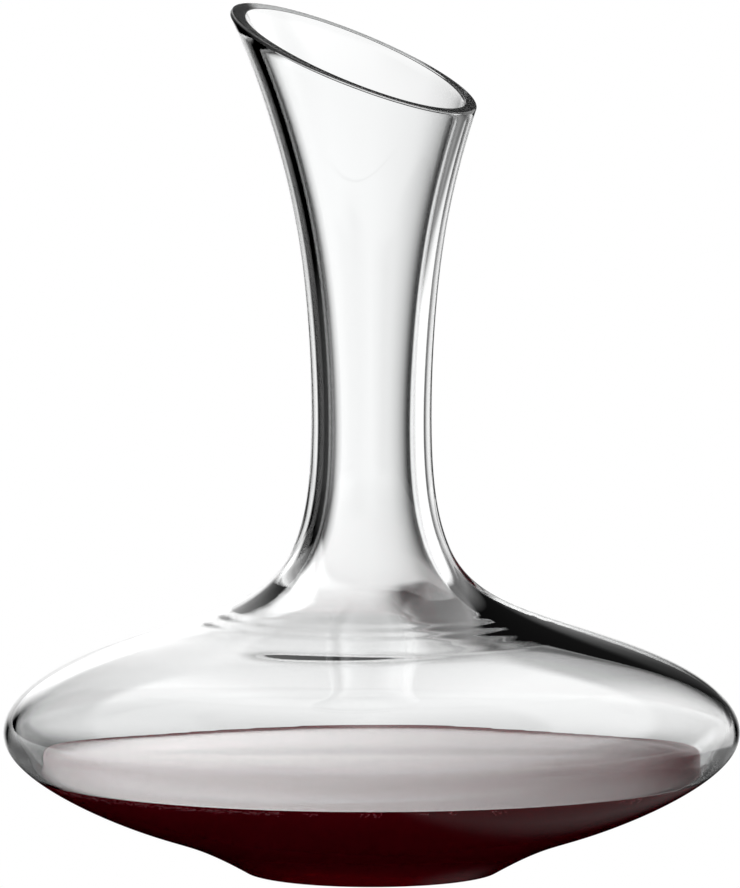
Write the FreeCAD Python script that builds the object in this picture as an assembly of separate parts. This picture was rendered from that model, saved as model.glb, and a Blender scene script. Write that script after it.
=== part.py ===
"""Wine decanter: a wide, low bowl on a small foot, with a flared neck cut at a slant, and its wine.

Frame: +Z up, origin at the centre of the ring that the foot stands on. The mouth's high side, the
one opposite the pouring lip, points along -X, and the whole object is symmetric about the XZ plane.
All lengths are in millimetres. One STEP file is written for each node.

The glass is one blown vessel. Its four zones (foot, belly, shoulder, neck) meet face to face on
horizontal planes and stay fixed to each other. The belly and the shoulder are the bowl's lower and
upper half. The wine fills the bottom of the bowl to a level surface.
"""
import FreeCAD, Part
import math
import os

# ---- driving dimensions -------------------------------------------------------------------------

# Control points (radius, height) of the outer profile, a clamped cubic B-spline
OUTER_PROFILE = [
    (38.0, 0.0),      # foot edge, where the outside starts
    (54.5, 9.5),      # waist above the foot
    (65.5, 10.0),
    (122.5, 36.5),    # belly, pulled out to the widest line
    (96.5, 64.0),     # shoulder
    (33.5, 79.0),     # root of the neck
    (20.5, 99.0),
    (17.0, 127.5),    # throat
    (19.5, 187.0),
    (31.0, 229.0),    # flare of the mouth
    (38.5, 248.5),
    (47.0, 266.0),    # above the highest point of the lip
]

# Control points of the inner profile, from the middle of the raised floor upwards
INNER_PROFILE = [
    (0.0, 9.0),       # top of the raised floor
    (20.0, 9.0),
    (36.0, 7.0),      # lowest line of the floor
    (71.4, 16.9),
    (96.6, 27.5),
    (111.7, 42.1),    # belly
    (97.8, 56.5),     # shoulder: the wall thins from the widest line up to here
    (77.3, 65.4),
    (52.0, 73.1),
    (42.0, 76.5),     # and thickens again towards the root of the neck
    (27.5, 82.8),
    (16.7, 94.4),
    (12.3, 119.2),    # throat
    (13.3, 158.8),
    (17.7, 197.8),
    (29.7, 238.6),
    (40.4, 262.2),
    (55.7, 293.0),
]
SPLINE_DEGREE = 3

REST_RING_INNER_RADIUS = 33.0   # the foot stands on the flat ring from here out to the foot edge
PUNT_HEIGHT = 3.5               # rise of the hollow under the base, at its middle

FOOT_TOP = 9.6                  # plane between the foot and the belly, at the waist
WIDEST_LINE = 42.0              # plane between the belly and the shoulder, where the bowl is widest
NECK_ROOT = 84.0                # plane between the shoulder and the neck
WINE_LEVEL = 31.0

LIP_CENTRE_HEIGHT = 240.5       # the mouth's plane crosses the axis here
LIP_SLANT_DEG = 24.0
LIP_EDGE_RADIUS = 0.8           # polish on the two edges of the cut rim

CUT_SIZE = 400.0                # side of the blocks that trim the zones


# ---- helpers ------------------------------------------------------------------------------------

def profile_curve(control_points):
    """The B-spline through the XZ plane that a list of (radius, height) control points gives."""
    curve = Part.BSplineCurve()
    poles = [FreeCAD.Vector(radius, 0, height) for radius, height in control_points]
    curve.buildFromPoles(poles, False, SPLINE_DEGREE)
    return curve


def revolve(edges):
    """The solid that a closed outline in the XZ plane sweeps round the Z axis."""
    face = Part.Face(Part.Wire(edges))
    return face.revolve(FreeCAD.Vector(0, 0, 0), FreeCAD.Vector(0, 0, 1), 360)


def line(start, end):
    return Part.LineSegment(FreeCAD.Vector(*start), FreeCAD.Vector(*end)).toShape()


def slab(bottom, top):
    """A wide block between two heights, to cut one zone out of the vessel."""
    corner = FreeCAD.Vector(-CUT_SIZE / 2, -CUT_SIZE / 2, bottom)
    return Part.makeBox(CUT_SIZE, CUT_SIZE, top - bottom, corner)


def above_mouth():
    """A block whose lower face is the slanted plane of the mouth."""
    corner = FreeCAD.Vector(-CUT_SIZE / 2, -CUT_SIZE / 2, 0)
    block = Part.makeBox(CUT_SIZE, CUT_SIZE, CUT_SIZE, corner)
    block.rotate(FreeCAD.Vector(0, 0, 0), FreeCAD.Vector(0, 1, 0), LIP_SLANT_DEG)
    block.translate(FreeCAD.Vector(0, 0, LIP_CENTRE_HEIGHT))
    return block


# ---- the glass vessel ---------------------------------------------------------------------------

def outer_solid():
    """Everything inside the outer surface, with the hollow punt under the base taken out."""
    curve = profile_curve(OUTER_PROFILE)
    foot_edge = curve.StartPoint
    top = curve.EndPoint
    ring_inner = FreeCAD.Vector(REST_RING_INNER_RADIUS, 0, 0)
    punt_top = FreeCAD.Vector(0, 0, PUNT_HEIGHT)
    punt_radius = (REST_RING_INNER_RADIUS ** 2 + PUNT_HEIGHT ** 2) / (2 * PUNT_HEIGHT)
    half_angle = math.asin(REST_RING_INNER_RADIUS / punt_radius) / 2
    punt_middle = FreeCAD.Vector(
        punt_radius * math.sin(half_angle),
        0,
        PUNT_HEIGHT - punt_radius * (1 - math.cos(half_angle)),
    )
    return revolve([
        Part.Arc(punt_top, punt_middle, ring_inner).toShape(),
        line(ring_inner, foot_edge),
        curve.toShape(),
        line(top, (0, 0, top.z)),
        line((0, 0, top.z), punt_top),
    ])


def cavity_solid():
    """The hollow inside the vessel, from the raised floor to above the mouth."""
    curve = profile_curve(INNER_PROFILE)
    floor = curve.StartPoint
    top = curve.EndPoint
    return revolve([
        curve.toShape(),
        line(top, (0, 0, top.z)),
        line((0, 0, top.z), floor),
    ])


def polish_lip(neck):
    """Round the outer and inner edges of the slanted rim."""
    slope = math.tan(math.radians(LIP_SLANT_DEG))
    lip_edges = []
    for edge in neck.Edges:
        points = edge.discretize(24)
        if all(abs(p.z - (LIP_CENTRE_HEIGHT - slope * p.x)) < 0.01 for p in points):
            lip_edges.append(edge)
    return neck.makeFillet(LIP_EDGE_RADIUS, lip_edges)


def make_foot(glass):
    return glass.common(slab(-1, FOOT_TOP))


def make_belly(glass):
    return glass.common(slab(FOOT_TOP, WIDEST_LINE))


def make_shoulder(glass):
    return glass.common(slab(WIDEST_LINE, NECK_ROOT))


def make_neck(glass):
    neck = glass.common(slab(NECK_ROOT, CUT_SIZE)).cut(above_mouth())
    return polish_lip(neck)


# ---- the wine -----------------------------------------------------------------------------------

def make_wine(cavity):
    return cavity.common(slab(0, WINE_LEVEL))


# ---- build and write ----------------------------------------------------------------------------

def main():
    cavity = cavity_solid()
    glass = outer_solid().cut(cavity)
    nodes = {
        "foot": make_foot(glass),
        "belly": make_belly(glass),
        "shoulder": make_shoulder(glass),
        "neck": make_neck(glass),
        "wine": make_wine(cavity),
    }
    os.makedirs("parts", exist_ok=True)
    for name, shape in nodes.items():
        solids = shape.Solids
        print(name, "valid", shape.isValid(), "solids", len(solids), "litres", shape.Volume / 1e6)
        solids[0].exportStep("parts/" + name + ".step")


main()
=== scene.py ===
"""Looks of the wine decanter: one seamless blown glass vessel with a ground lip, and red wine in it.

The frame is the CAD model's: +Z up, origin at the middle of the ring that the foot stands on, the
high side of the mouth towards -X. Blender works in metres. The profiles, and the sizes along them,
are in millimetres as in the CAD source, and are turned into metres where a mesh is made.
"""
import math
import random

import bmesh
import bpy
import numpy as np
from mathutils import Matrix, Vector


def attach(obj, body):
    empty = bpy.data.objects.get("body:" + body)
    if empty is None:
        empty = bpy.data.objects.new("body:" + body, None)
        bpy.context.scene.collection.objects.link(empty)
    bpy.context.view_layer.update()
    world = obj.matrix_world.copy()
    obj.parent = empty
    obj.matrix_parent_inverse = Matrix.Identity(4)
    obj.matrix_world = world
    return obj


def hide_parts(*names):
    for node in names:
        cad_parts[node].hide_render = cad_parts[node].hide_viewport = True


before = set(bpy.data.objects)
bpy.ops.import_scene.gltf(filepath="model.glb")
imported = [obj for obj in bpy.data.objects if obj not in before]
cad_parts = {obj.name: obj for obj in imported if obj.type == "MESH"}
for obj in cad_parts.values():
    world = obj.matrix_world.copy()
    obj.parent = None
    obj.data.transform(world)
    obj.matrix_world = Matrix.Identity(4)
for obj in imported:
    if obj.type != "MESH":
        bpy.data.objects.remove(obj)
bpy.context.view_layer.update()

MM = 0.001
FULL_TURN = 2.0 * math.pi

# ---- shape of the vessel, in millimetres, the same as in the CAD source -------------------------

OUTER_PROFILE = [
    (38.0, 0.0), (54.5, 9.5), (65.5, 10.0), (122.5, 36.5), (96.5, 64.0), (33.5, 79.0),
    (20.5, 99.0), (17.0, 127.5), (19.5, 187.0), (31.0, 229.0), (38.5, 248.5), (47.0, 266.0),
]
INNER_PROFILE = [
    (0.0, 9.0),       # top of the raised floor
    (20.0, 9.0),
    (36.0, 7.0),      # lowest line of the floor
    (71.4, 16.9),
    (96.6, 27.5),
    (111.7, 42.1),    # belly
    (97.8, 56.5),     # shoulder: the wall thins from the widest line up to here
    (77.3, 65.4),
    (52.0, 73.1),
    (42.0, 76.5),     # and thickens again towards the root of the neck
    (27.5, 82.8),
    (16.7, 94.4),
    (12.3, 119.2),    # throat
    (13.3, 158.8),
    (17.7, 197.8),
    (29.7, 238.6),
    (40.4, 262.2),
    (55.7, 293.0),
]
SPLINE_DEGREE = 3
REST_RING_INNER_RADIUS = 33.0
RING_EDGE_RADIUS = 0.7          # wear-smoothed edges of the standing ring
PUNT_HEIGHT = 3.5
WINE_LEVEL = 31.0
LIP_CENTRE_HEIGHT = 240.5
LIP_SLANT = math.radians(24.0)
LIP_EDGE_RADIUS = 0.8
LIP_FLATNESS = 0.02             # a face this close to the plane of the cut belongs to it

# ---- mesh density -------------------------------------------------------------------------------

SEGMENTS = 256                  # round the axis
PROFILE_SAMPLES = 4000
ROW_STEP = 3.0                  # rows where a profile runs straight
ROW_TURN = 0.07                 # radians of a profile's turn from one row to the next
SPLIT_HEIGHT = 150.0            # above this height the rows follow the slant of the lip
PUNT_ROWS = 14
RING_EDGE_ROWS = 3
LIP_EDGE_ROWS = 6
LIP_FLAT_ROWS = 6
WINE_TOP_ROWS = 30
WINE_TOP_CROWDING = 3           # power that crowds those rows towards the wall
FINE_ROWS = [(-30.0, -5.0, 1.0), (-5.0, 36.0, 0.4)]     # from, to and spacing, measured from the step
BUBBLE_SUBDIVISIONS = 2


# ---- curves -------------------------------------------------------------------------------------

def spline_point(control, u):
    """A point of the clamped, evenly knotted cubic B-spline at u, from 0 to 1."""
    spans = len(control) - SPLINE_DEGREE
    knots = [0.0] * SPLINE_DEGREE + [i / spans for i in range(spans + 1)] + [1.0] * SPLINE_DEGREE
    span = min(int(u * spans), spans - 1) + SPLINE_DEGREE
    points = [control[span - SPLINE_DEGREE + i] for i in range(SPLINE_DEGREE + 1)]
    for level in range(1, SPLINE_DEGREE + 1):
        for i in range(SPLINE_DEGREE, level - 1, -1):
            start = knots[span - SPLINE_DEGREE + i]
            end = knots[span + 1 + i - level]
            share = (u - start) / (end - start)
            points[i] = tuple(a + (b - a) * share for a, b in zip(points[i - 1], points[i]))
    return points[SPLINE_DEGREE]


class Profile:
    """A profile as a dense table, so that points and directions can be read by length along it."""

    def __init__(self, control):
        points = [spline_point(control, i / PROFILE_SAMPLES) for i in range(PROFILE_SAMPLES + 1)]
        self.points = np.array(points)
        steps = np.linalg.norm(np.diff(self.points, axis=0), axis=1)
        self.length = np.concatenate([[0.0], np.cumsum(steps)])
        tangent = np.gradient(self.points, axis=0)
        self.tangent = tangent / np.linalg.norm(tangent, axis=1)[:, None]

    def at(self, s):
        """(radius, height) at length s along the profile."""
        return np.array([np.interp(s, self.length, self.points[:, k]) for k in (0, 1)])

    def direction(self, s):
        """The way the profile runs at length s, as a unit vector."""
        found = np.array([np.interp(s, self.length, self.tangent[:, k]) for k in (0, 1)])
        return found / np.linalg.norm(found)

    def left_side(self, s):
        """The unit vector to the left of the way the profile runs, which is towards the axis."""
        along = self.direction(s)
        return np.array([-along[1], along[0]])

    def length_at_height(self, height):
        """Length along the profile where it last rises past a height."""
        below = np.nonzero(self.points[:, 1] <= height)[0][-1]
        return float(self.length[below])

    def length_at_slant(self, slope):
        """Length where the profile meets the lip's plane, in a half-plane where it falls by slope."""
        gap = self.points[:, 1] + slope * self.points[:, 0] - LIP_CENTRE_HEIGHT
        i = int(np.nonzero(gap > 0)[0][0])
        share = gap[i - 1] / (gap[i - 1] - gap[i])
        return float(self.length[i - 1] + share * (self.length[i] - self.length[i - 1]))


def row_lengths(profile, start, end):
    """Lengths from start to end, close together where the profile turns, wider where it runs straight."""
    inside = (profile.length >= start) & (profile.length <= end)
    length = profile.length[inside]
    heading = np.unwrap(np.arctan2(profile.tangent[inside, 1], profile.tangent[inside, 0]))
    turned = np.concatenate([[0.0], np.cumsum(np.abs(np.diff(heading)))])
    effort = (length - length[0]) / ROW_STEP + turned / ROW_TURN
    count = max(int(math.ceil(effort[-1])), 2)
    rows = np.interp(np.linspace(0.0, effort[-1], count + 1), effort, length)
    rows[0], rows[-1] = start, end
    return rows


def row_shares(profile, start, end):
    """The same rows as shares of the way, so that they can be spread over another stretch."""
    return (row_lengths(profile, start, end) - start) / (end - start)


def with_fine_rows(rows, start, end, spacing):
    """The same rows, but evenly close together between two lengths."""
    fine = np.arange(start, end, spacing)
    return np.concatenate([rows[rows < start - spacing / 2], fine, rows[rows > end]])


def fillet(corner, before, after, radius, steps):
    """Points of the arc that rounds a corner, from the direction before it to the direction after."""
    turn = math.atan2(before[0] * after[1] - before[1] * after[0], float(np.dot(before, after)))
    setback = radius * math.tan(abs(turn) / 2)
    side = math.copysign(1.0, turn)
    start = np.array(corner) - setback * np.array(before)
    centre = start + side * radius * np.array([-before[1], before[0]])
    spoke = start - centre
    points = []
    for i in range(steps + 1):
        angle = turn * i / steps
        c, s = math.cos(angle), math.sin(angle)
        points.append(centre + np.array([c * spoke[0] - s * spoke[1], s * spoke[0] + c * spoke[1]]))
    return points, setback


# ---- turned shapes ------------------------------------------------------------------------------

def angles_round():
    return np.linspace(0.0, FULL_TURN, SEGMENTS, endpoint=False)


def turned_piece(name, outlines, angles):
    """A closed mesh from one outline of (radius, height) for each angle, in millimetres.

    Every outline starts and ends on the axis, and all have the same number of points.
    """
    outlines = np.array(outlines)
    first, last = outlines[0, 0], outlines[0, -1]
    ring = outlines[:, 1:-1]
    count = ring.shape[1]
    cos, sin = np.cos(angles)[:, None], np.sin(angles)[:, None]
    grid = np.stack([ring[..., 0] * cos, ring[..., 0] * sin, ring[..., 1]], axis=-1)
    points = np.concatenate([grid.reshape(-1, 3), [[0, 0, first[1]], [0, 0, last[1]]]]) * MM
    start_pole, end_pole = len(points) - 2, len(points) - 1
    faces = []
    for j in range(len(angles)):
        k = (j + 1) % len(angles)
        faces.append((start_pole, k * count, j * count))
        for i in range(count - 1):
            faces.append((j * count + i, k * count + i, k * count + i + 1, j * count + i + 1))
        faces.append((end_pole, j * count + count - 1, k * count + count - 1))
    mesh = bpy.data.meshes.new(name)
    mesh.from_pydata([tuple(p) for p in points], [], faces)
    mesh.validate()
    mesh.shade_smooth()
    piece = bpy.data.objects.new(name, mesh)
    bpy.context.collection.objects.link(piece)
    return piece


# ---- foot ---------------------------------------------------------------------------------------

def punt_outline():
    """The underside from the axis outwards: the punt's dome, then the inner edge of the ring."""
    dome_radius = (REST_RING_INNER_RADIUS ** 2 + PUNT_HEIGHT ** 2) / (2 * PUNT_HEIGHT)
    reach = math.asin(REST_RING_INNER_RADIUS / dome_radius)
    before = (math.cos(reach), -math.sin(reach))
    corner = (REST_RING_INNER_RADIUS, 0.0)
    edge, setback = fillet(corner, before, (1.0, 0.0), RING_EDGE_RADIUS, RING_EDGE_ROWS)
    reach -= setback / dome_radius
    dome = []
    for i in range(PUNT_ROWS):
        angle = reach * i / PUNT_ROWS
        height = PUNT_HEIGHT - dome_radius * (1 - math.cos(angle))
        dome.append((dome_radius * math.sin(angle), height))
    return dome + [tuple(p) for p in edge]


# ---- marks inside the root of the neck, left where the glass was drawn out ----------------------

STEP_HEIGHT = 69.3              # tool mark: a low step in the inner wall, below the neck's root
STEP_DEPTH = 0.8
STEP_LENGTH = 8.0
STEP_SIDE = math.radians(-78.0)     # it is deepest on this side of the vessel
STEP_NARROWNESS = 8             # the greater, the faster it dies away round the vessel
STEP_END = math.radians(-91.0)      # and it stops short here
STEP_END_WIDTH = 0.2            # radians
STEP_FADE = 14.0                # above the step the wall goes slowly back to the profile
SWELL_SLOPE = 0.04              # on one side the wall goes on thickening above the step
SWELL_START = 1.5               # above the step
SWELL_TOP = 40.0                # here it dies away into the neck
SWELL_TOP_LENGTH = 20.0
SWELL_FROM = math.radians(-38.0)
SWELL_FROM_WIDTH = 0.35         # radians
SWELL_TO = math.radians(75.0)
SWELL_TO_WIDTH = 0.5            # radians
SWELL_DROP = 90.0               # it starts this much lower for each radian past the angle below
SWELL_DROP_FROM = math.radians(-5.0)
SWELL_DROP_TO = math.radians(25.0)
RIPPLE_HEIGHT = 75.0            # soft drawing rings above the step
RIPPLE_SPREAD = 8.0
RIPPLE_PITCH = 6.0
RIPPLE_DEPTH = 0.016
RIPPLE_EVEN_SHARE = 0.65        # the rest of their depth is on the +X side
RIPPLE_DRIFT = [(1.0, 0.9, 0.7), (3.0, 0.4, 0.0)]       # waves round the neck, size, start; in radians
STEEPEST_EXPONENT = 50.0


def soft_rise(value, length):
    """A smooth rise from 0 to 1 round value 0, most of it within length."""
    exponent = max(min(-4.0 * value / length, STEEPEST_EXPONENT), -STEEPEST_EXPONENT)
    return 1.0 / (1.0 + math.exp(exponent))


def step_depth(along, turn):
    """The tool mark: a step over part of the way round."""
    side = (0.5 + 0.5 * math.cos(turn - STEP_SIDE)) ** STEP_NARROWNESS
    side *= soft_rise(turn - STEP_END, STEP_END_WIDTH)
    return STEP_DEPTH * side * soft_rise(along, STEP_LENGTH) * math.exp(-max(along, 0.0) / STEP_FADE)


def swell_depth(along, turn):
    """The thicker side of the root."""
    side = soft_rise(turn - SWELL_FROM, SWELL_FROM_WIDTH) * soft_rise(SWELL_TO - turn, SWELL_TO_WIDTH)
    past = max(min(turn, SWELL_DROP_TO) - SWELL_DROP_FROM, 0.0)
    climb = max(along - SWELL_START + SWELL_DROP * past, 0.0)
    return SWELL_SLOPE * side * climb * soft_rise(SWELL_TOP - along, SWELL_TOP_LENGTH)


def ripple_depth(above, turn):
    """Soft rings, drifting up and down round the neck."""
    drift = sum(size * math.sin(waves * turn + start) for waves, size, start in RIPPLE_DRIFT)
    side = RIPPLE_EVEN_SHARE + (1.0 - RIPPLE_EVEN_SHARE) * math.cos(turn)
    fade = math.exp(-(above / RIPPLE_SPREAD) ** 2) * side
    return RIPPLE_DEPTH * fade * math.sin(FULL_TURN * above / RIPPLE_PITCH + drift)


def root_marks(along, above, angle):
    """How far the inner surface stands in, by the lengths past the step and past the ripples' middle."""
    turn = (angle + math.pi) % FULL_TURN - math.pi
    return step_depth(along, turn) + swell_depth(along, turn) + ripple_depth(above, turn)


# ---- glass vessel -------------------------------------------------------------------------------

def lip_outline(outer, inner, angle):
    """The lip's section at one angle: rounded outer edge, flat cut, rounded inner edge.

    Also gives the lengths at which the outer and inner profiles meet the roundings.
    """
    slope = math.tan(LIP_SLANT) * math.cos(angle)
    s_out = outer.length_at_slant(slope)
    s_in = inner.length_at_slant(slope)
    corner_out, corner_in = outer.at(s_out), inner.at(s_in)
    across = (corner_in - corner_out) / np.linalg.norm(corner_in - corner_out)
    up, down = outer.direction(s_out), -inner.direction(s_in)
    out_arc, out_setback = fillet(corner_out, up, across, LIP_EDGE_RADIUS, LIP_EDGE_ROWS)
    in_arc, in_setback = fillet(corner_in, across, down, LIP_EDGE_RADIUS, LIP_EDGE_ROWS)
    width = in_arc[0] - out_arc[-1]
    flat = [out_arc[-1] + width * i / LIP_FLAT_ROWS for i in range(1, LIP_FLAT_ROWS)]
    return out_arc + flat + in_arc, s_out - out_setback, s_in - in_setback


def low_inner_rows(inner, end):
    """Lengths of the inner rows from the floor up, fine enough where the marks of the root are."""
    rows = row_lengths(inner, 0.0, end)
    step = inner.length_at_height(STEP_HEIGHT)
    for fine_start, fine_end, spacing in FINE_ROWS:
        rows = with_fine_rows(rows, step + fine_start, step + fine_end, spacing)
    return rows


def vessel_outlines(outer, inner, angles):
    """The glass's section at each angle: underside, outside, lip, inside, floor."""
    foot_corner, foot_rise = outer.at(0.0), outer.direction(0.0)
    foot_edge, setback = fillet(foot_corner, (1.0, 0.0), foot_rise, RING_EDGE_RADIUS, RING_EDGE_ROWS)
    split_out = outer.length_at_height(SPLIT_HEIGHT)
    split_in = inner.length_at_height(SPLIT_HEIGHT)
    high_out = row_shares(outer, split_out, outer.length_at_height(LIP_CENTRE_HEIGHT))
    high_in = row_shares(inner, split_in, inner.length_at_height(LIP_CENTRE_HEIGHT))
    base = punt_outline() + [tuple(p) for p in foot_edge[:-1]]
    outside = [outer.at(s) for s in row_lengths(outer, setback, split_out)]
    step = inner.length_at_height(STEP_HEIGHT)
    ripples = inner.length_at_height(RIPPLE_HEIGHT)
    wall = [(s, inner.at(s), inner.left_side(s)) for s in low_inner_rows(inner, split_in)[::-1]]
    outlines = []
    for angle in angles:
        lip, end_out, end_in = lip_outline(outer, inner, angle)
        rising = [outer.at(split_out + (end_out - split_out) * f) for f in high_out[1:-1]]
        falling = [inner.at(split_in + (end_in - split_in) * f) for f in high_in[-2:0:-1]]
        inside = [point + inward * root_marks(s - step, s - ripples, angle) for s, point, inward in wall]
        inside[-1] = inner.at(0.0)
        outlines.append(base + outside + rising + lip + falling + inside)
    return outlines


def give_cut_its_material(vessel):
    """Put the ground material on the faces in the plane of the cut."""
    vessel.data.materials.append(ground_rim_material())
    ground = len(vessel.data.materials) - 1
    normal = np.array([math.sin(LIP_SLANT), 0.0, math.cos(LIP_SLANT)])
    centre = np.array([0.0, 0.0, LIP_CENTRE_HEIGHT * MM])
    for face in vessel.data.polygons:
        on_plane = abs(np.dot(np.array(face.center) - centre, normal)) < LIP_FLATNESS * MM
        if on_plane and face.center[2] > SPLIT_HEIGHT * MM:
            face.material_index = ground


def make_vessel(outer, inner):
    angles = angles_round()
    vessel = turned_piece("glass_vessel", vessel_outlines(outer, inner, angles), angles)
    vessel.data.materials.append(glass_material())
    give_cut_its_material(vessel)
    return vessel


# ---- wine ---------------------------------------------------------------------------------------

MENISCUS_CLIMB = 0.7            # how far the wine climbs the glass
MENISCUS_REACH = 1.6            # how quickly that dies away from the wall
WETTING = 0.15                  # the wine reaches this far into the glass, so that no air lies between


def wine_outline(inner):
    """The wine's section: along the inner profile, then back over the meniscus to the axis."""
    contact = inner.length_at_height(WINE_LEVEL + MENISCUS_CLIMB)
    outline = [inner.at(s) - WETTING * inner.left_side(s) for s in row_lengths(inner, 0.0, contact)]
    outline[0][0] = 0.0
    edge = outline[-1][0]
    for i in range(1, WINE_TOP_ROWS):
        gap = edge * (i / WINE_TOP_ROWS) ** WINE_TOP_CROWDING
        climb = MENISCUS_CLIMB * math.exp(-gap / MENISCUS_REACH)
        outline.append(np.array([edge - gap, WINE_LEVEL + climb]))
    outline.append(np.array([0.0, WINE_LEVEL]))
    return outline


def make_wine(inner):
    angles = angles_round()
    wine = turned_piece("wine_fill", [wine_outline(inner)] * len(angles), angles)
    wine.data.materials.append(wine_material())
    return wine


# ---- foam ---------------------------------------------------------------------------------------

FOAM_PATCHES = [        # (middle, half-width) in degrees round the wall, number of bubbles
    (-100.0, 26.0, 520), (-69.5, 1.2, 12), (-59.5, 1.8, 22), (-51.0, 1.0, 8), (-46.0, 0.8, 6),
    (-38.0, 1.5, 12), (-11.0, 3.0, 16),
]
FOAM_RADII = (0.16, 0.36)
FOAM_HEIGHTS = (-1.3, 0.3)      # from the wine's level
FOAM_SEAT = 0.25                # how far a bubble's ball reaches into the glass
FOAM_SEED = 7


def bubble_mesh(centres, radii):
    """Small round bubbles in one mesh."""
    balls = bmesh.new()
    for centre, radius in zip(centres, radii):
        bmesh.ops.create_icosphere(
            balls,
            subdivisions=BUBBLE_SUBDIVISIONS,
            radius=radius * MM,
            matrix=Matrix.Translation(centre * MM),
        )
    mesh = bpy.data.meshes.new("wine_bubbles")
    balls.to_mesh(mesh)
    balls.free()
    mesh.shade_smooth()
    return mesh


def make_bubbles(inner):
    """The broken line of fine bubbles where the wine meets the glass."""
    chance = random.Random(FOAM_SEED)
    centres, radii = [], []
    for middle, half_width, count in FOAM_PATCHES:
        for _ in range(count):
            angle = math.radians(middle + half_width * chance.uniform(-1.0, 1.0))
            radius = chance.uniform(*FOAM_RADII)
            height = WINE_LEVEL + chance.triangular(*FOAM_HEIGHTS, 0.0)
            wall_radius = inner.at(inner.length_at_height(height))[0]
            out = wall_radius + FOAM_SEAT - radius
            centres.append(Vector((out * math.cos(angle), out * math.sin(angle), height)))
            radii.append(radius)
    bubbles = bpy.data.objects.new("wine_bubbles", bubble_mesh(centres, radii))
    bpy.context.collection.objects.link(bubbles)
    bubbles.data.materials.append(foam_material())
    return bubbles


# ---- building blocks of node trees --------------------------------------------------------------

def new_material(name):
    material = bpy.data.materials.new(name)
    material.use_nodes = True
    return material, material.node_tree.nodes, material.node_tree.links


def on_object(nodes, links, kind, scale):
    """A procedural texture that is fixed to the object."""
    place = nodes.new("ShaderNodeTexCoord")
    texture = nodes.new(kind)
    texture.inputs["Scale"].default_value = scale
    links.new(place.outputs["Object"], texture.inputs["Vector"])
    return texture


def add_bump(nodes, links, height, strength, distance):
    """Let the shader's surface rise and fall with a texture's value."""
    bump = nodes.new("ShaderNodeBump")
    bump.inputs["Strength"].default_value = strength
    bump.inputs["Distance"].default_value = distance
    links.new(height, bump.inputs["Height"])
    links.new(bump.outputs["Normal"], nodes["Principled BSDF"].inputs["Normal"])


def add_tint(nodes, links, value, low_colour, high_colour):
    """Let the shader's colour go from one to the other with a texture's value."""
    tint = nodes.new("ShaderNodeValToRGB")
    tint.color_ramp.elements[0].color = low_colour
    tint.color_ramp.elements[1].color = high_colour
    links.new(value, tint.inputs["Fac"])
    links.new(tint.outputs["Color"], nodes["Principled BSDF"].inputs["Base Color"])


def calculate(nodes, links, operation, *values):
    """The result of a math node. Each value is a number or another node's output."""
    node = nodes.new("ShaderNodeMath")
    node.operation = operation
    for socket, value in zip(node.inputs, values):
        if isinstance(value, float):
            socket.default_value = value
        else:
            links.new(value, socket)
    return node.outputs[0]


def smooth_step(nodes, links, value, start, end):
    """0 below start, 1 above end, and a smooth rise between them."""
    step = nodes.new("ShaderNodeMapRange")
    step.interpolation_type = "SMOOTHSTEP"
    step.inputs["From Min"].default_value = start
    step.inputs["From Max"].default_value = end
    links.new(value, step.inputs["Value"])
    return step.outputs["Result"]


def blend_colours(nodes, links, factor, first, second):
    mix = nodes.new("ShaderNodeMix")
    mix.data_type = "RGBA"
    mix.clamp_result = False
    links.new(factor, mix.inputs["Factor"])
    links.new(first, mix.inputs["A"])
    links.new(second, mix.inputs["B"])
    return mix.outputs["Result"]


# ---- materials ----------------------------------------------------------------------------------

def glass_material():
    """Clear glass with the faint waviness of a blown surface."""
    material, nodes, links = new_material("clear_blown_glass")
    shader = nodes["Principled BSDF"]
    shader.inputs["Base Color"].default_value = (0.985, 0.99, 0.99, 1)
    shader.inputs["Roughness"].default_value = 0.0
    shader.inputs["IOR"].default_value = 1.5
    shader.inputs["Transmission Weight"].default_value = 1.0
    waves = on_object(nodes, links, "ShaderNodeTexNoise", scale=30.0)
    waves.inputs["Detail"].default_value = 1.0
    add_bump(nodes, links, waves.outputs["Fac"], strength=0.25, distance=0.0002)
    return material


def ground_rim_material():
    """The cut face of the lip: ground, then polished, with fine parallel grinding lines left in it."""
    material, nodes, links = new_material("ground_glass_rim")
    shader = nodes["Principled BSDF"]
    shader.inputs["Base Color"].default_value = (0.8, 0.82, 0.82, 1)
    shader.inputs["Roughness"].default_value = 0.18
    shader.inputs["IOR"].default_value = 1.5
    shader.inputs["Transmission Weight"].default_value = 1.0
    lines = on_object(nodes, links, "ShaderNodeTexWave", scale=400.0)
    lines.inputs["Distortion"].default_value = 2.0
    add_bump(nodes, links, lines.outputs["Fac"], strength=0.4, distance=0.0001)
    return material


def wine_material():
    """Red wine: darker the further light goes through it, with a body that is a little uneven."""
    material, nodes, links = new_material("red_wine")
    shader = nodes["Principled BSDF"]
    shader.inputs["Roughness"].default_value = 0.0
    shader.inputs["IOR"].default_value = 1.34
    shader.inputs["Transmission Weight"].default_value = 0.85
    clouds = on_object(nodes, links, "ShaderNodeTexNoise", scale=45.0).outputs["Fac"]
    add_tint(nodes, links, clouds, (0.66, 0.008, 0.035, 1), (0.84, 0.012, 0.055, 1))
    add_bump(nodes, links, clouds, strength=0.1, distance=0.0001)
    depth = nodes.new("ShaderNodeVolumeAbsorption")
    depth.inputs["Color"].default_value = (0.88, 0.03, 0.1, 1)
    depth.inputs["Density"].default_value = 380.0
    links.new(depth.outputs["Volume"], nodes["Material Output"].inputs["Volume"])
    return material


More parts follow.
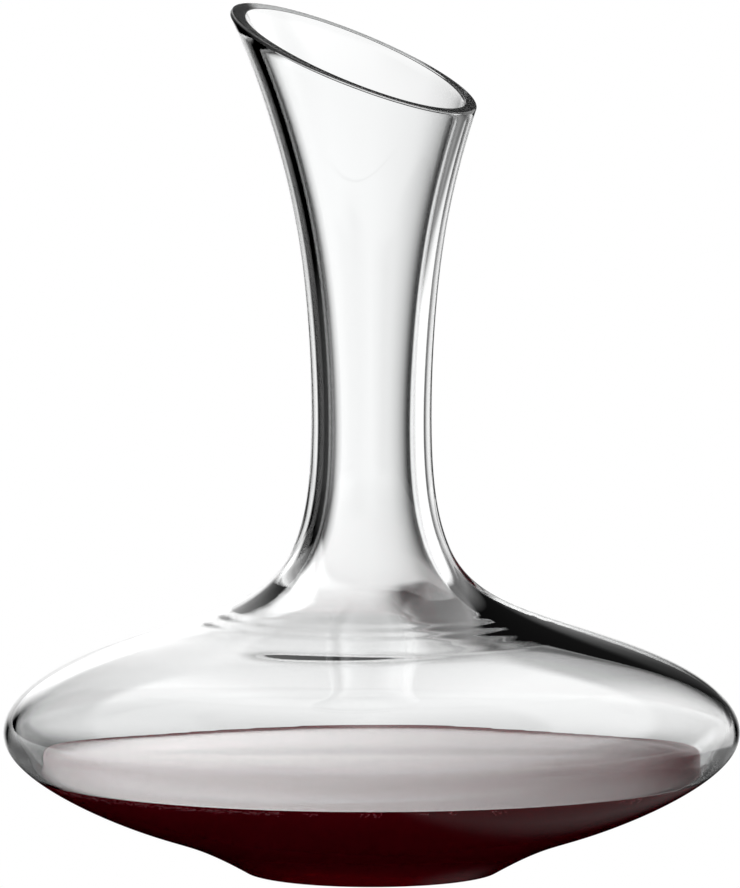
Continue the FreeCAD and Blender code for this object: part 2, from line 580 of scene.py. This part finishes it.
def foam_material():
    """Thin wet bubble skins, pinkish from the wine, a little uneven."""
    material, nodes, links = new_material("wine_foam")
    shader = nodes["Principled BSDF"]
    shader.inputs["Roughness"].default_value = 0.12
    shader.inputs["IOR"].default_value = 1.33
    shader.inputs["Transmission Weight"].default_value = 0.6
    spots = on_object(nodes, links, "ShaderNodeTexNoise", scale=900.0).outputs["Fac"]
    add_tint(nodes, links, spots, (0.45, 0.12, 0.16, 1), (0.9, 0.72, 0.76, 1))
    return material


# ---- camera -------------------------------------------------------------------------------------

CAMERA_AZIMUTH = math.radians(30.5)
CAMERA_ELEVATION = math.radians(3.91)
CAMERA_DISTANCE = 1.8
CAMERA_TARGET_HEIGHT = 0.1279
FRAME_WIDTH = 36.0
FOCAL_LENGTH = 293.3
SIDE_SHIFT = -0.002             # of the frame's width, to centre the object


def make_camera():
    data = bpy.data.cameras.new("camera")
    data.sensor_fit = "HORIZONTAL"
    data.sensor_width = FRAME_WIDTH
    data.lens = FOCAL_LENGTH
    data.shift_x = SIDE_SHIFT
    camera = bpy.data.objects.new("camera", data)
    bpy.context.collection.objects.link(camera)
    flat = CAMERA_DISTANCE * math.cos(CAMERA_ELEVATION)
    camera.location = (
        flat * math.sin(CAMERA_AZIMUTH),
        -flat * math.cos(CAMERA_AZIMUTH),
        CAMERA_TARGET_HEIGHT + CAMERA_DISTANCE * math.sin(CAMERA_ELEVATION),
    )
    camera.rotation_euler = (math.pi / 2 - CAMERA_ELEVATION, 0.0, CAMERA_AZIMUTH)
    bpy.context.scene.camera = camera


# ---- floor --------------------------------------------------------------------------------------

FLOOR_HALF_SIZE = 0.45
FLOOR_GLOW_PAINTED_DIMMER = 0.92 # painted shade: the floor glows dimmer to rays other than the camera's, such as those through the glass
PAINTED_SHADOW_INNER_RADIUS = 0.12      # painted shadow: to those rays the floor's glow is dark within this radius, below the bowl
PAINTED_SHADOW_OUTER_RADIUS = 0.45
PAINTED_FLOOR_GLOW_INTO_WINE = 0.4     # painted light: glow the floor gives to rays that have made a diffuse bounce, which lightens the wine's body


def floor_material():
    """A glowing white floor, even to the eye; to other rays it glows dimmer, with a painted shadow under
    the bowl and painted light after a diffuse bounce.
    """
    material, nodes, links = new_material("pale_floor_painted_shadow_and_glow")
    nodes.remove(nodes["Principled BSDF"])
    place = nodes.new("ShaderNodeTexCoord")
    radius = nodes.new("ShaderNodeVectorMath")
    radius.operation = "LENGTH"
    links.new(place.outputs["Object"], radius.inputs[0])
    # painted shadow: for rays other than the camera's, the glow fades in outwards from under the bowl
    shade = smooth_step(nodes, links, radius.outputs["Value"], PAINTED_SHADOW_INNER_RADIUS, PAINTED_SHADOW_OUTER_RADIUS)
    painted_shadow_through_glass = calculate(nodes, links, "MULTIPLY", shade, FLOOR_GLOW_PAINTED_DIMMER)
    path = nodes.new("ShaderNodeLightPath")
    # painted light: extra glow for rays after a diffuse bounce, such as off the wine's body
    painted_glow_into_wine = calculate(nodes, links, "MULTIPLY", path.outputs["Diffuse Depth"], PAINTED_FLOOR_GLOW_INTO_WINE)
    painted_shadow_and_glow = calculate(nodes, links, "MAXIMUM", painted_shadow_through_glass, painted_glow_into_wine)
    strength = calculate(nodes, links, "MAXIMUM", painted_shadow_and_glow, path.outputs["Is Camera Ray"])
    glow = nodes.new("ShaderNodeEmission")
    links.new(strength, glow.inputs["Strength"])
    links.new(glow.outputs["Emission"], nodes["Material Output"].inputs["Surface"])
    return material


def make_floor():
    mesh = bpy.data.meshes.new("floor")
    size = FLOOR_HALF_SIZE
    corners = [(-size, -size, 0), (size, -size, 0), (size, size, 0), (-size, size, 0)]
    mesh.from_pydata(corners, [], [(0, 1, 2, 3)])
    mesh.materials.append(floor_material())
    floor = bpy.data.objects.new("floor", mesh)
    bpy.context.collection.objects.link(floor)
    floor.visible_glossy = False


# ---- studio light -------------------------------------------------------------------------------

# The studio round the decanter, as bands of elevation. Each band holds its lowest and highest angle
# of elevation, in degrees, and its brightness by the angle to the right of straight ahead. Between
# two bands one goes smoothly over into the other.
STUDIO_BANDS = [
    (-90, -28, [        # table skirt: dark in front and beside, which keeps the belly's underside dark
        (-180, 0.9), (-110, 0.9), (-75, 0.7), (-50, 0.05), (-45, 0.0), (8, 0.0), (15, 0.1), (60, 0.1),
        (80, 0.2), (110, 0.8), (180, 0.9),
    ]),
    (-24, -11, [
        (-180, 0.9), (-165, 0.6), (-150, 0.2), (-135, 0.6), (-110, 0.9), (-90, 0.5), (-72, 0.0),
        (8, 0.0), (15, 0.1), (28, 0.1), (42, 0.3), (60, 0.1), (90, 0.5), (120, 0.2), (140, 0.8),
        (180, 0.9),
    ]),
    (-8, -1, [          # panel ahead, gap, soft box to the right, flags on both sides, fill from behind
        (-180, 0.9), (-165, 0.6), (-150, 0.15), (-135, 0.6), (-105, 0.9), (-85, 0.7), (-70, 0.2),
        (-64, 0.0), (-20, 0.0), (-15, 0.7), (-11, 1.1), (-6, 1.04), (0, 0.97), (5, 0.84), (9, 0.62),
        (12, 0.4), (15, 0.15), (18, 0.0), (23, 0.0), (26, 1.1), (55, 1.2), (72, 0.4), (100, 0.4),
        (120, 0.15), (138, 0.8), (180, 0.9),
    ]),
    (1, 3, [
        (-180, 0.9), (-165, 0.6), (-150, 0.15), (-135, 0.6), (-105, 0.9), (-85, 0.7), (-70, 0.2),
        (-62, 0.0), (-24, 0.0), (-17, 1.0), (-6, 1.4), (0, 1.0), (3, 0.4), (6, 0.05), (21, 0.1),
        (26, 1.1), (55, 1.2), (72, 0.4), (100, 0.4), (120, 0.15), (138, 0.8), (180, 0.9),
    ]),
    (5, 13, [
        (-180, 0.9), (-165, 0.6), (-150, 0.2), (-135, 0.6), (-105, 0.9), (-85, 0.5), (-70, 0.0),
        (-24, 0.0), (-17, 1.2), (-12, 2.1), (-5, 2.1), (-2, 1.8), (0, 1.4), (2, 1.0), (4, 0.65),
        (6, 0.35), (9, 0.1), (17, 0.0), (21, 0.15), (26, 1.1), (50, 1.2), (65, 0.9), (78, 0.3),
        (105, 0.4), (120, 0.2), (138, 0.8), (180, 0.9),
    ]),
    (17, 33, [
        (-180, 0.9), (-110, 0.8), (-90, 0.3), (-70, 0.0), (-30, 0.2), (-22, 0.4), (-14, 0.8),
        (-7, 1.6), (-3, 0.7), (2, 0.02), (17, 0.02), (22, 0.5), (28, 1.2), (60, 1.1), (75, 0.5),
        (90, 0.3), (120, 0.8), (180, 0.9),
    ]),
    (37, 57, [
        (-180, 0.9), (-110, 0.9), (-75, 0.3), (-45, 0.4), (-30, 1.1), (-20, 1.4), (-12, 0.8), (0, 0.6),
        (6, 0.8), (15, 1.4), (60, 1.6), (90, 1.1), (120, 0.9), (180, 0.9),
    ]),
    (62, 90, [
        (-180, 0.9), (-110, 0.9), (-60, 0.5), (-30, 1.1), (0, 1.3), (30, 1.1), (60, 0.6), (110, 0.8),
        (180, 0.9),
    ]),
]


def brightness_ramp(nodes, links, turn, stops):
    """A ramp that gives the brightness for the angle that turn carries, as 0 to 1 for -180 to 180."""
    ramp = nodes.new("ShaderNodeValToRGB")
    points = ramp.color_ramp.elements
    points.remove(points[1])
    for number, (angle, value) in enumerate(stops):
        point = points.new((angle + 180.0) / 360.0) if number else points[0]
        point.color = (value, value, value, 1.0)
    links.new(turn, ramp.inputs["Fac"])
    return ramp.outputs["Color"]


def studio_directions(nodes, links):
    """The angle round from straight behind, as 0 to 1, and the sine of the elevation."""
    place = nodes.new("ShaderNodeTexCoord")
    facing = nodes.new("ShaderNodeVectorRotate")
    facing.rotation_type = "Z_AXIS"
    facing.inputs["Angle"].default_value = -CAMERA_AZIMUTH
    links.new(place.outputs["Generated"], facing.inputs["Vector"])
    axes = nodes.new("ShaderNodeSeparateXYZ")
    links.new(facing.outputs["Vector"], axes.inputs["Vector"])
    angle = calculate(nodes, links, "ARCTAN2", axes.outputs["X"], axes.outputs["Y"])
    turn = calculate(nodes, links, "MULTIPLY_ADD", angle, 1.0 / FULL_TURN, 0.5)
    return turn, axes.outputs["Z"]


def studio_colour(nodes, links):
    """The light that comes from each direction, band over band."""
    turn, rise = studio_directions(nodes, links)
    colour = brightness_ramp(nodes, links, turn, STUDIO_BANDS[0][2])
    for (_, below, _), (above, _, stops) in zip(STUDIO_BANDS, STUDIO_BANDS[1:]):
        start, end = math.sin(math.radians(below)), math.sin(math.radians(above))
        factor = smooth_step(nodes, links, rise, start, end)
        band_colour = brightness_ramp(nodes, links, turn, stops)
        colour = blend_colours(nodes, links, factor, colour, band_colour)
    return colour


def make_world():
    """A light tent with flags: soft light of uneven brightness all round, and plain white to the eye."""
    world = bpy.data.worlds.new("studio")
    bpy.context.scene.world = world
    world.use_nodes = True
    nodes, links = world.node_tree.nodes, world.node_tree.links
    lit = nodes["Background"]
    links.new(studio_colour(nodes, links), lit.inputs["Color"])
    seen = nodes.new("ShaderNodeBackground")
    seen.inputs["Color"].default_value = (1, 1, 1, 1)
    path = nodes.new("ShaderNodeLightPath")
    choose = nodes.new("ShaderNodeMixShader")
    links.new(path.outputs["Is Camera Ray"], choose.inputs["Fac"])
    links.new(lit.outputs["Background"], choose.inputs[1])
    links.new(seen.outputs["Background"], choose.inputs[2])
    links.new(choose.outputs["Shader"], nodes["World Output"].inputs["Surface"])


# ---- put it together ----------------------------------------------------------------------------

def main():
    bpy.context.scene.view_settings.view_transform = "Standard"
    make_camera()
    make_floor()
    make_world()
    outer = Profile(OUTER_PROFILE)
    inner = Profile(INNER_PROFILE)
    vessel = make_vessel(outer, inner)
    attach(vessel, "root")
    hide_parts("foot", "belly", "shoulder", "neck")
    wine = make_wine(inner)
    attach(wine, "root")
    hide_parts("wine")
    bubbles = make_bubbles(inner)
    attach(bubbles, "root")


main()
